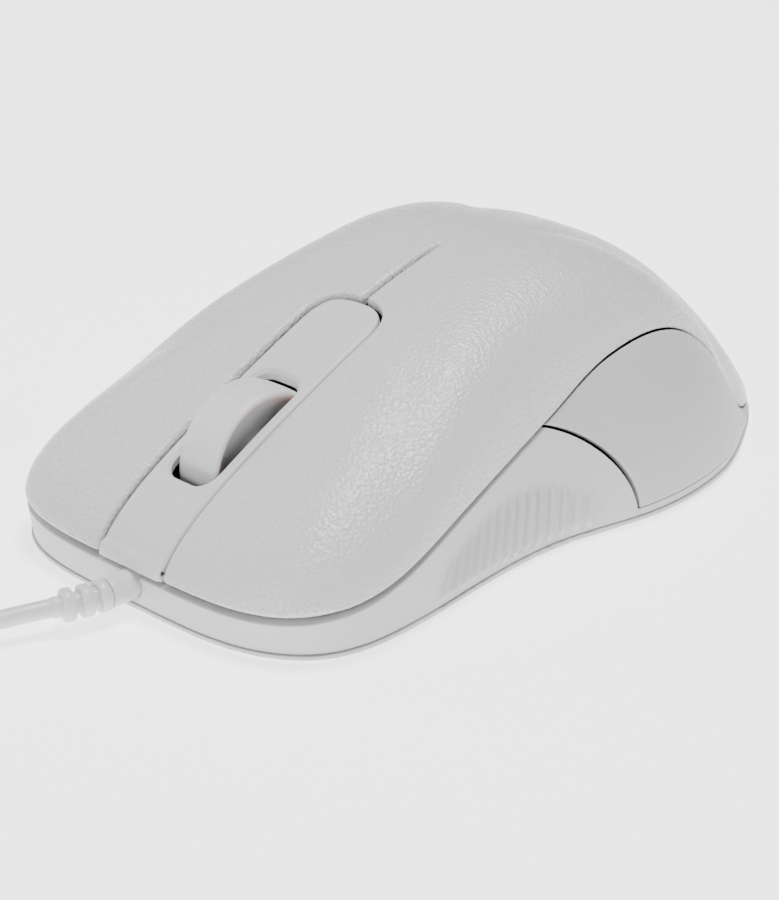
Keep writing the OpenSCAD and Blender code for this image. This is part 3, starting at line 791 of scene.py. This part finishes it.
def strip_z(y):
    """Height of the strip: a little under the inner edges of the buttons, and falling past its crease."""
    crease_y = -56.3
    fall = 0.45
    edge = np.full_like(y, STRIP_HALF + STRIP_GAP)
    return top_z(edge, np.maximum(y, crease_y)) - STRIP_DROP - fall * np.maximum(crease_y - y, 0)


def strip_profile():
    """Middle line of the strip from the foot of its nose, over its front crease, to its rear end."""
    nose_y = -57.45
    y = np.linspace(nose_y, STRIP_REAR, 900)
    z = strip_z(y)
    crease = 1.3
    few = 30
    slope = math.atan2(z[few] - z[0], y[few] - y[0])
    lean = math.radians(84)
    turn = lean - slope
    cut = crease * math.tan(turn / 2)
    corner = np.array([nose_y, z[0]])
    centre = corner + cut * np.array([math.cos(slope), math.sin(slope)]) + crease * np.array(
        [math.sin(slope), -math.cos(slope)])
    a = np.linspace(math.pi / 2 + lean, math.pi / 2 + slope, 24)
    arc = centre + crease * np.stack([np.cos(a), np.sin(a)], -1)
    foot = arc[0] - (arc[0, 1] - NOSE_Z) / math.sin(lean) * np.array([math.cos(lean), math.sin(lean)])
    top = np.stack([y, z], -1)
    top = top[y > arc[-1, 0] + 0.05]
    return np.concatenate([np.linspace(foot, arc[0], 20)[:-1], arc, top])


def make_strip():
    """Centre strip with a rounded front crease, a nose and the wheel slot."""
    line = strip_profile()
    run = np.concatenate([[0], np.cumsum(np.linalg.norm(np.diff(line, axis=0), axis=1))])
    past_nose = -54
    top_from = int(np.argmax(line[:, 0] > past_nose))

    def unroll(y):
        return np.interp(y, line[top_from:, 0], run[top_from:])

    a = np.linspace(0, math.pi / 2, 400)
    end_x = STRIP_HALF * np.cos(a) ** (2 / STRIP_N)
    end_y = STRIP_C + STRIP_HALF * np.sin(a) ** (2 / STRIP_N)
    cut = int(np.argmin(np.abs(a - math.radians(45))))
    side_s = np.concatenate([np.linspace(0, unroll(STRIP_C), 500)[:-1], unroll(end_y[:cut + 1])])
    side_x = np.concatenate([np.full(499, STRIP_HALF), end_x[:cut + 1]])
    east = np.stack([side_x, side_s], -1)
    half_end = np.stack([end_x[cut:], unroll(end_y[cut:])], -1)
    north = np.concatenate([half_end * [-1, 1], half_end[::-1][1:]])
    west = east * [-1, 1]
    south = np.stack([np.linspace(-STRIP_HALF, STRIP_HALF, 200), np.zeros(200)], -1)
    plan = coons(west, east, south, north)

    def surface(u, v):
        p = plan(u, v)
        y = np.interp(p[..., 1], run, line[:, 0])
        return np.stack([p[..., 0], y, np.interp(p[..., 1], run, line[:, 1])], -1)

    r, foot_r = 0.6, 0.25
    u, v, depth = patch_grid(surface, 16, 120, (r, r, foot_r, r))
    points = surface(u, v)
    tangent = np.gradient(line, axis=0)
    tangent /= np.linalg.norm(tangent, axis=1, keepdims=True)
    s = plan(u, v)[..., 1]
    ty, tz = np.interp(s, run, tangent[:, 0]), np.interp(s, run, tangent[:, 1])
    normals = np.stack([np.zeros_like(ty), -tz, ty], -1)
    normals /= np.linalg.norm(normals, axis=-1, keepdims=True)
    outer = points - normals * depth[..., None]
    inner = points - normals * STRIP_WALL
    obj = shell("strip_shell", outer, inner)
    subtract(obj, slot_cutter())
    obj.data.set_sharp_from_angle(angle=math.radians(35))
    return dress(obj, "strip", "root", ["centre_strip"])


def relief_hole():
    """Cutter for the hole in the front wall that the strain relief's sleeve passes through."""
    count, before, past = 64, 1, 2.5
    a = 2 * math.pi * np.arange(count) / count
    rings = [np.stack([HOLE_R * np.cos(a), np.full(count, y), RELIEF_Z + HOLE_R * np.sin(a)], -1)
             for y in (FRONT_Y - before, FRONT_Y + past)]
    return mesh_from("relief_cutter", np.concatenate(rings), wrap_faces(2, count))


def slot_cutter():
    """Cutter for the wheel slot, flared where it meets the strip's surface."""
    steps = 10
    outline, outward = [], []
    corners = ((1, 1), (-1, 1), (-1, -1), (1, -1))
    for quarter, (sx, sy) in enumerate(corners):
        for k in range(steps + 1):
            a = math.pi / 2 * (quarter + k / steps)
            outward.append((math.cos(a), math.sin(a)))
            outline.append((sx * (SLOT_HALF - SLOT_CORNER) + SLOT_CORNER * math.cos(a),
                            SLOT_Y + sy * (SLOT_LEN / 2 - SLOT_CORNER) + SLOT_CORNER * math.sin(a)))
    outline, outward = np.array(outline), np.array(outward)
    flare, above, below = 0.45, 3.0, -6.0
    rows = [(above, flare)] + [(-flare * math.sin(t), flare * (1 - math.cos(math.pi / 2 - t)))
                               for t in np.linspace(0, math.pi / 2, 7)] + [(below, 0.0)]
    rings = []
    for lift, spread in rows:
        xy = outline + outward * spread
        z = strip_z(xy[:, 1]) + lift
        rings.append(np.concatenate([xy, z[:, None]], axis=1))
    return mesh_from("slot_cutter", np.concatenate(rings), wrap_faces(len(rings), len(outline)))


def seam_y(k):
    """Place of the seam between grip and side panel, from the base (k = 0) to the upper edge (1)."""
    foot_y, lean = 8, 14
    return foot_y - lean * k ** 1.6


def frame_top(y):
    """Share of the wall's height that the frame fills: the gap above it widens to the front."""
    least, widening = 0.3, 0.012
    gap = least + widening * (FLEX_Y - y)
    return 1 - gap / (curve(EDGE, y) - WALL_Z)


def rib_height(y, z):
    """Height of the grip's ribs at a point of the side wall: slim leaning ridges under an arched line."""
    h = np.zeros_like(y)
    mid = (RIB_COUNT - 1) / 2
    foot_z = WALL_Z + 0.7
    lean, less_each = 3.3, 0.15
    arch_top, arch_drop = 11.5, 4.2
    foot_fade, tip_fade = 1.5, 2.2
    for i in range(RIB_COUNT):
        foot = np.array([RIB_FROM + RIB_PITCH * i, foot_z])
        tip = np.array([foot[0] + lean - less_each * i, arch_top - arch_drop * ((i - mid) / mid) ** 2])
        d = tip - foot
        t = ((y - foot[0]) * d[0] + (z - foot[1]) * d[1]) / (d @ d)
        away = np.abs((y - foot[0]) * d[1] - (z - foot[1]) * d[0]) / np.linalg.norm(d)
        length = np.linalg.norm(d)
        fade = smooth(t * length / foot_fade + 0.1) * smooth((1 - t) * length / tip_fade)
        h = np.maximum(h, RIB_H * fade * (0.5 + 0.5 * np.cos(np.clip(away / RIB_HALF, 0, 1) * math.pi)))
    return h


def make_frame():
    """Side frame: one band round the front and both grips, with the ribs raised from it."""
    rows = np.concatenate([[0, 0.012, 0.035], np.linspace(0.07, 0.93, 62), [0.965, 0.988, 1.0]])
    fine = 340
    dense = np.linspace(0, 1, 4000)

    def column_y(t, k):
        return FRONT_Y + (seam_y(k) - SEAM - FRONT_Y) * t ** 4

    mid_line = side(column_y(dense, 0.5), 0.5)
    step = np.linalg.norm(np.diff(mid_line, axis=0), axis=1)
    ribs_from, rib_density = -36, 2.6
    weight = np.where(mid_line[1:, 1] > ribs_from, rib_density, 1.0)
    run = np.concatenate([[0], np.cumsum(step * weight)])
    t = np.interp(np.linspace(0, run[-1], fine), run, dense)
    k, tt = np.meshgrid(rows, t, indexing="ij")
    y = column_y(tt, k)
    half = side(y, k, frame_top(y), 0.2)
    full = np.concatenate([half[:, :0:-1] * MIRROR, half], axis=1)
    normals = -grid_normals(full)
    ribs = rib_height(full[..., 1], full[..., 2])
    edge = np.minimum(rows, 1 - rows)[:, None] * (curve(EDGE, full[..., 1]) - WALL_Z)
    r = 0.25
    depth = r * (1 - np.sqrt(np.clip(1 - np.clip(1 - edge / r, 0, 1) ** 2, 0, 1)))
    outer = full + normals * (ribs - depth)[..., None]
    inner = full - normals * WALL
    obj = shell("frame_band", outer[:, ::-1], inner[:, ::-1])
    subtract(obj, relief_hole())
    obj.data.set_sharp_from_angle(angle=math.radians(55))
    return dress(obj, "frame", "root", ["side_frame"])


def make_bands():
    """The frame's low band under the side panels and round the back, and the base's thin edge under it."""
    low_inset, low_core = 0.25, 1.5
    band_ring("frame_low_band", low_inset, low_core, WALL_Z + 0.02, BAND_TOP)
    lip_inset, lip_core = -0.03, 1.4
    band_ring("base_lip", lip_inset, lip_core, FOOT_T + 0.005, FOOT_T + LIP_T + 0.09)


def base_outline(inset, count):
    """Closed outline of the base, evenly spaced."""
    t = np.linspace(0, 1, 1500)
    front = FRONT_Y + FRONT_LEN * t ** 4
    rear = -FRONT_Y - REAR_LEN * t[::-1] ** 3
    y = np.concatenate([front, rear[1:]])
    v = inset_y(y, inset)
    x = half_x(BASE_HALF, v, inset)
    right = np.stack([x, v], -1)
    left = right[::-1][1:-1] * [-1, 1]
    loop = np.concatenate([right, left, right[:1]])
    return along(loop, np.arange(count) / count)


def band_ring(name, outside, inside, z0, z1):
    """Ring between two insets of the base outline with rounded outer edges."""
    count, r = 420, 0.12
    outer = base_outline(outside, count)
    core = base_outline(inside, count)
    way = core - outer
    way /= np.linalg.norm(way, axis=1, keepdims=True)
    quarter = np.linspace(0, math.pi / 2, 5)
    levels = [(a, z1 - r * (1 - math.sin(a))) for a in quarter[::-1]]
    levels += [(a, z0 + r * (1 - math.sin(a))) for a in quarter]
    rows = [np.concatenate([outer + way * r * (1 - math.cos(a)), np.full((count, 1), z)], 1)
            for a, z in levels]
    rows += [np.concatenate([core, np.full((count, 1), z)], 1) for z in (z0, z1)]
    faces = wrap_faces(len(rows), count, ring=True)
    return dress(mesh_from(name, np.concatenate(rows), faces, sharp=40), "frame", "root")


def make_panel(name, s, stands_for):
    """Side panel behind the grip on side s of the middle, with rounded edges."""
    def surface(u, v):
        k0 = v
        y = seam_y(k0) + SEAM + (PANEL_END - SEAM - seam_y(k0)) * u
        h = curve(EDGE, y) - WALL_Z
        low = BAND_TOP + SEAM - WALL_Z
        k = (low + (h - SEAM - low) * k0) / h
        return side(y, k, inset=0.1)

    r = 0.22
    u, v, depth = patch_grid(surface, 70, 40, (r, r, r, r))
    points = surface(u, v)
    normals = grid_normals(points)
    outer = points - normals * depth[..., None]
    inner = points - normals * WALL
    if s < 0:
        outer, inner = outer[::-1] * MIRROR, inner[::-1] * MIRROR
    obj = shell(name, outer, inner)
    obj.data.set_sharp_from_angle(angle=math.radians(50))
    return dress(obj, "panel", "root", [stands_for])


# ---------------------------------------------------------------- wheel

def make_tyre():
    """Soft tyre: shallow rounded ribs across the tread, rounded shoulders and dished sides."""
    half = [(3.2, -3.05), (4.2, -3.02), (4.8, -2.6), (5.6, -2.4), (7.0, -2.36), (7.9, -2.5), (8.5, -2.75),
            (8.9, -3.05), (9.15, -3.35), (9.35, -3.54), (9.55, -3.6), (9.8, -3.52), (10.02, -3.34),
            (10.14, -3.05), (10.2, -2.7), (10.24, -2.2), (10.28, -1.4), (10.3, -0.6)]
    profile = half + [(r, -x) for r, x in half[::-1]]

    def place(r, a, x):
        rise_from, rise, tread_half, fade = 9.6, 0.6, 2.9, 0.9
        tread = smooth((r - rise_from) / rise) * smooth((tread_half - np.abs(x)) / fade)
        r = r - TREAD_DEPTH * tread * (0.5 - 0.5 * np.cos(a * TREAD_RIBS)) ** 1.5
        return np.stack([x, WHEEL_Y + r * np.cos(a), WHEEL_Z + r * np.sin(a)], -1)

    return dress(lathe("tyre_soft", profile, 260, place, ring=True), "tyre", "scroll_wheel", ["wheel_tyre"])


# ---------------------------------------------------------------- floor and light

def make_stage():
    """White floor that glows a little, so that it fades into the backdrop."""
    bpy.ops.mesh.primitive_plane_add(size=FLOOR_SIZE, location=(0, 0, FLOOR_Z))
    floor = bpy.context.object
    floor.name = "floor"
    white = bpy.data.materials.new("floor_white")
    white.use_nodes = True
    shader = white.node_tree.nodes["Principled BSDF"]
    shader.inputs["Base Color"].default_value = (1.0, 1.0, 1.0, 1)
    shader.inputs["Roughness"].default_value = 0.7
    shader.inputs["Specular IOR Level"].default_value = 0.1
    shader.inputs["Emission Color"].default_value = (1, 1, 1, 1)
    shader.inputs["Emission Strength"].default_value = FLOOR_GLOW
    floor.data.materials.append(white)


def area_light(name, place, target, size, power):
    """Square area light that faces its target."""
    data = bpy.data.lights.new(name, "AREA")
    data.shape = "RECTANGLE"
    data.size = data.size_y = size
    data.energy = power
    obj = bpy.data.objects.new(name, data)
    bpy.context.scene.collection.objects.link(obj)
    obj.location = place
    way = Vector(target) - Vector(place)
    obj.rotation_euler = way.to_track_quat("-Z", "Y").to_euler()


def make_lights():
    """Soft lights from above, in front and the left, and a weak even sky."""
    for light in LIGHTS:
        area_light(*light)
    world = bpy.data.worlds.new("studio")
    bpy.context.scene.world = world
    world.use_nodes = True
    world.node_tree.nodes["Background"].inputs["Color"].default_value = (1, 1, 1, 1)
    world.node_tree.nodes["Background"].inputs["Strength"].default_value = WORLD_LIGHT


# ---------------------------------------------------------------- build

make_camera()
MATERIALS = make_materials()
cable, cable_length = make_cable()
dress(cable, "cable", "root", ["cable", "cable_coil", "cable_end"])
relief = dress(make_relief(), "cable", "root", ["strain_relief"])
plug = dress(make_plug(), "cable", "root", ["plug_body"])
tie = dress(make_tie(), "tie", "root", ["cable_tie"])

make_button("button_left_shell", 1, "left_button")
make_button("button_right_shell", -1, "right_button")
make_cover()
make_strip()
make_frame()
make_bands()
make_panel("panel_left", 1, "left_side_panel")
make_panel("panel_right", -1, "right_side_panel")
make_tyre()

for row in frame["record"]["subparts"]:
    node = frame["nodes"][row["node"]]
    for place in node.material_slots:
        place.material = MATERIALS[row["material_slot"]]

make_stage()
make_lights()
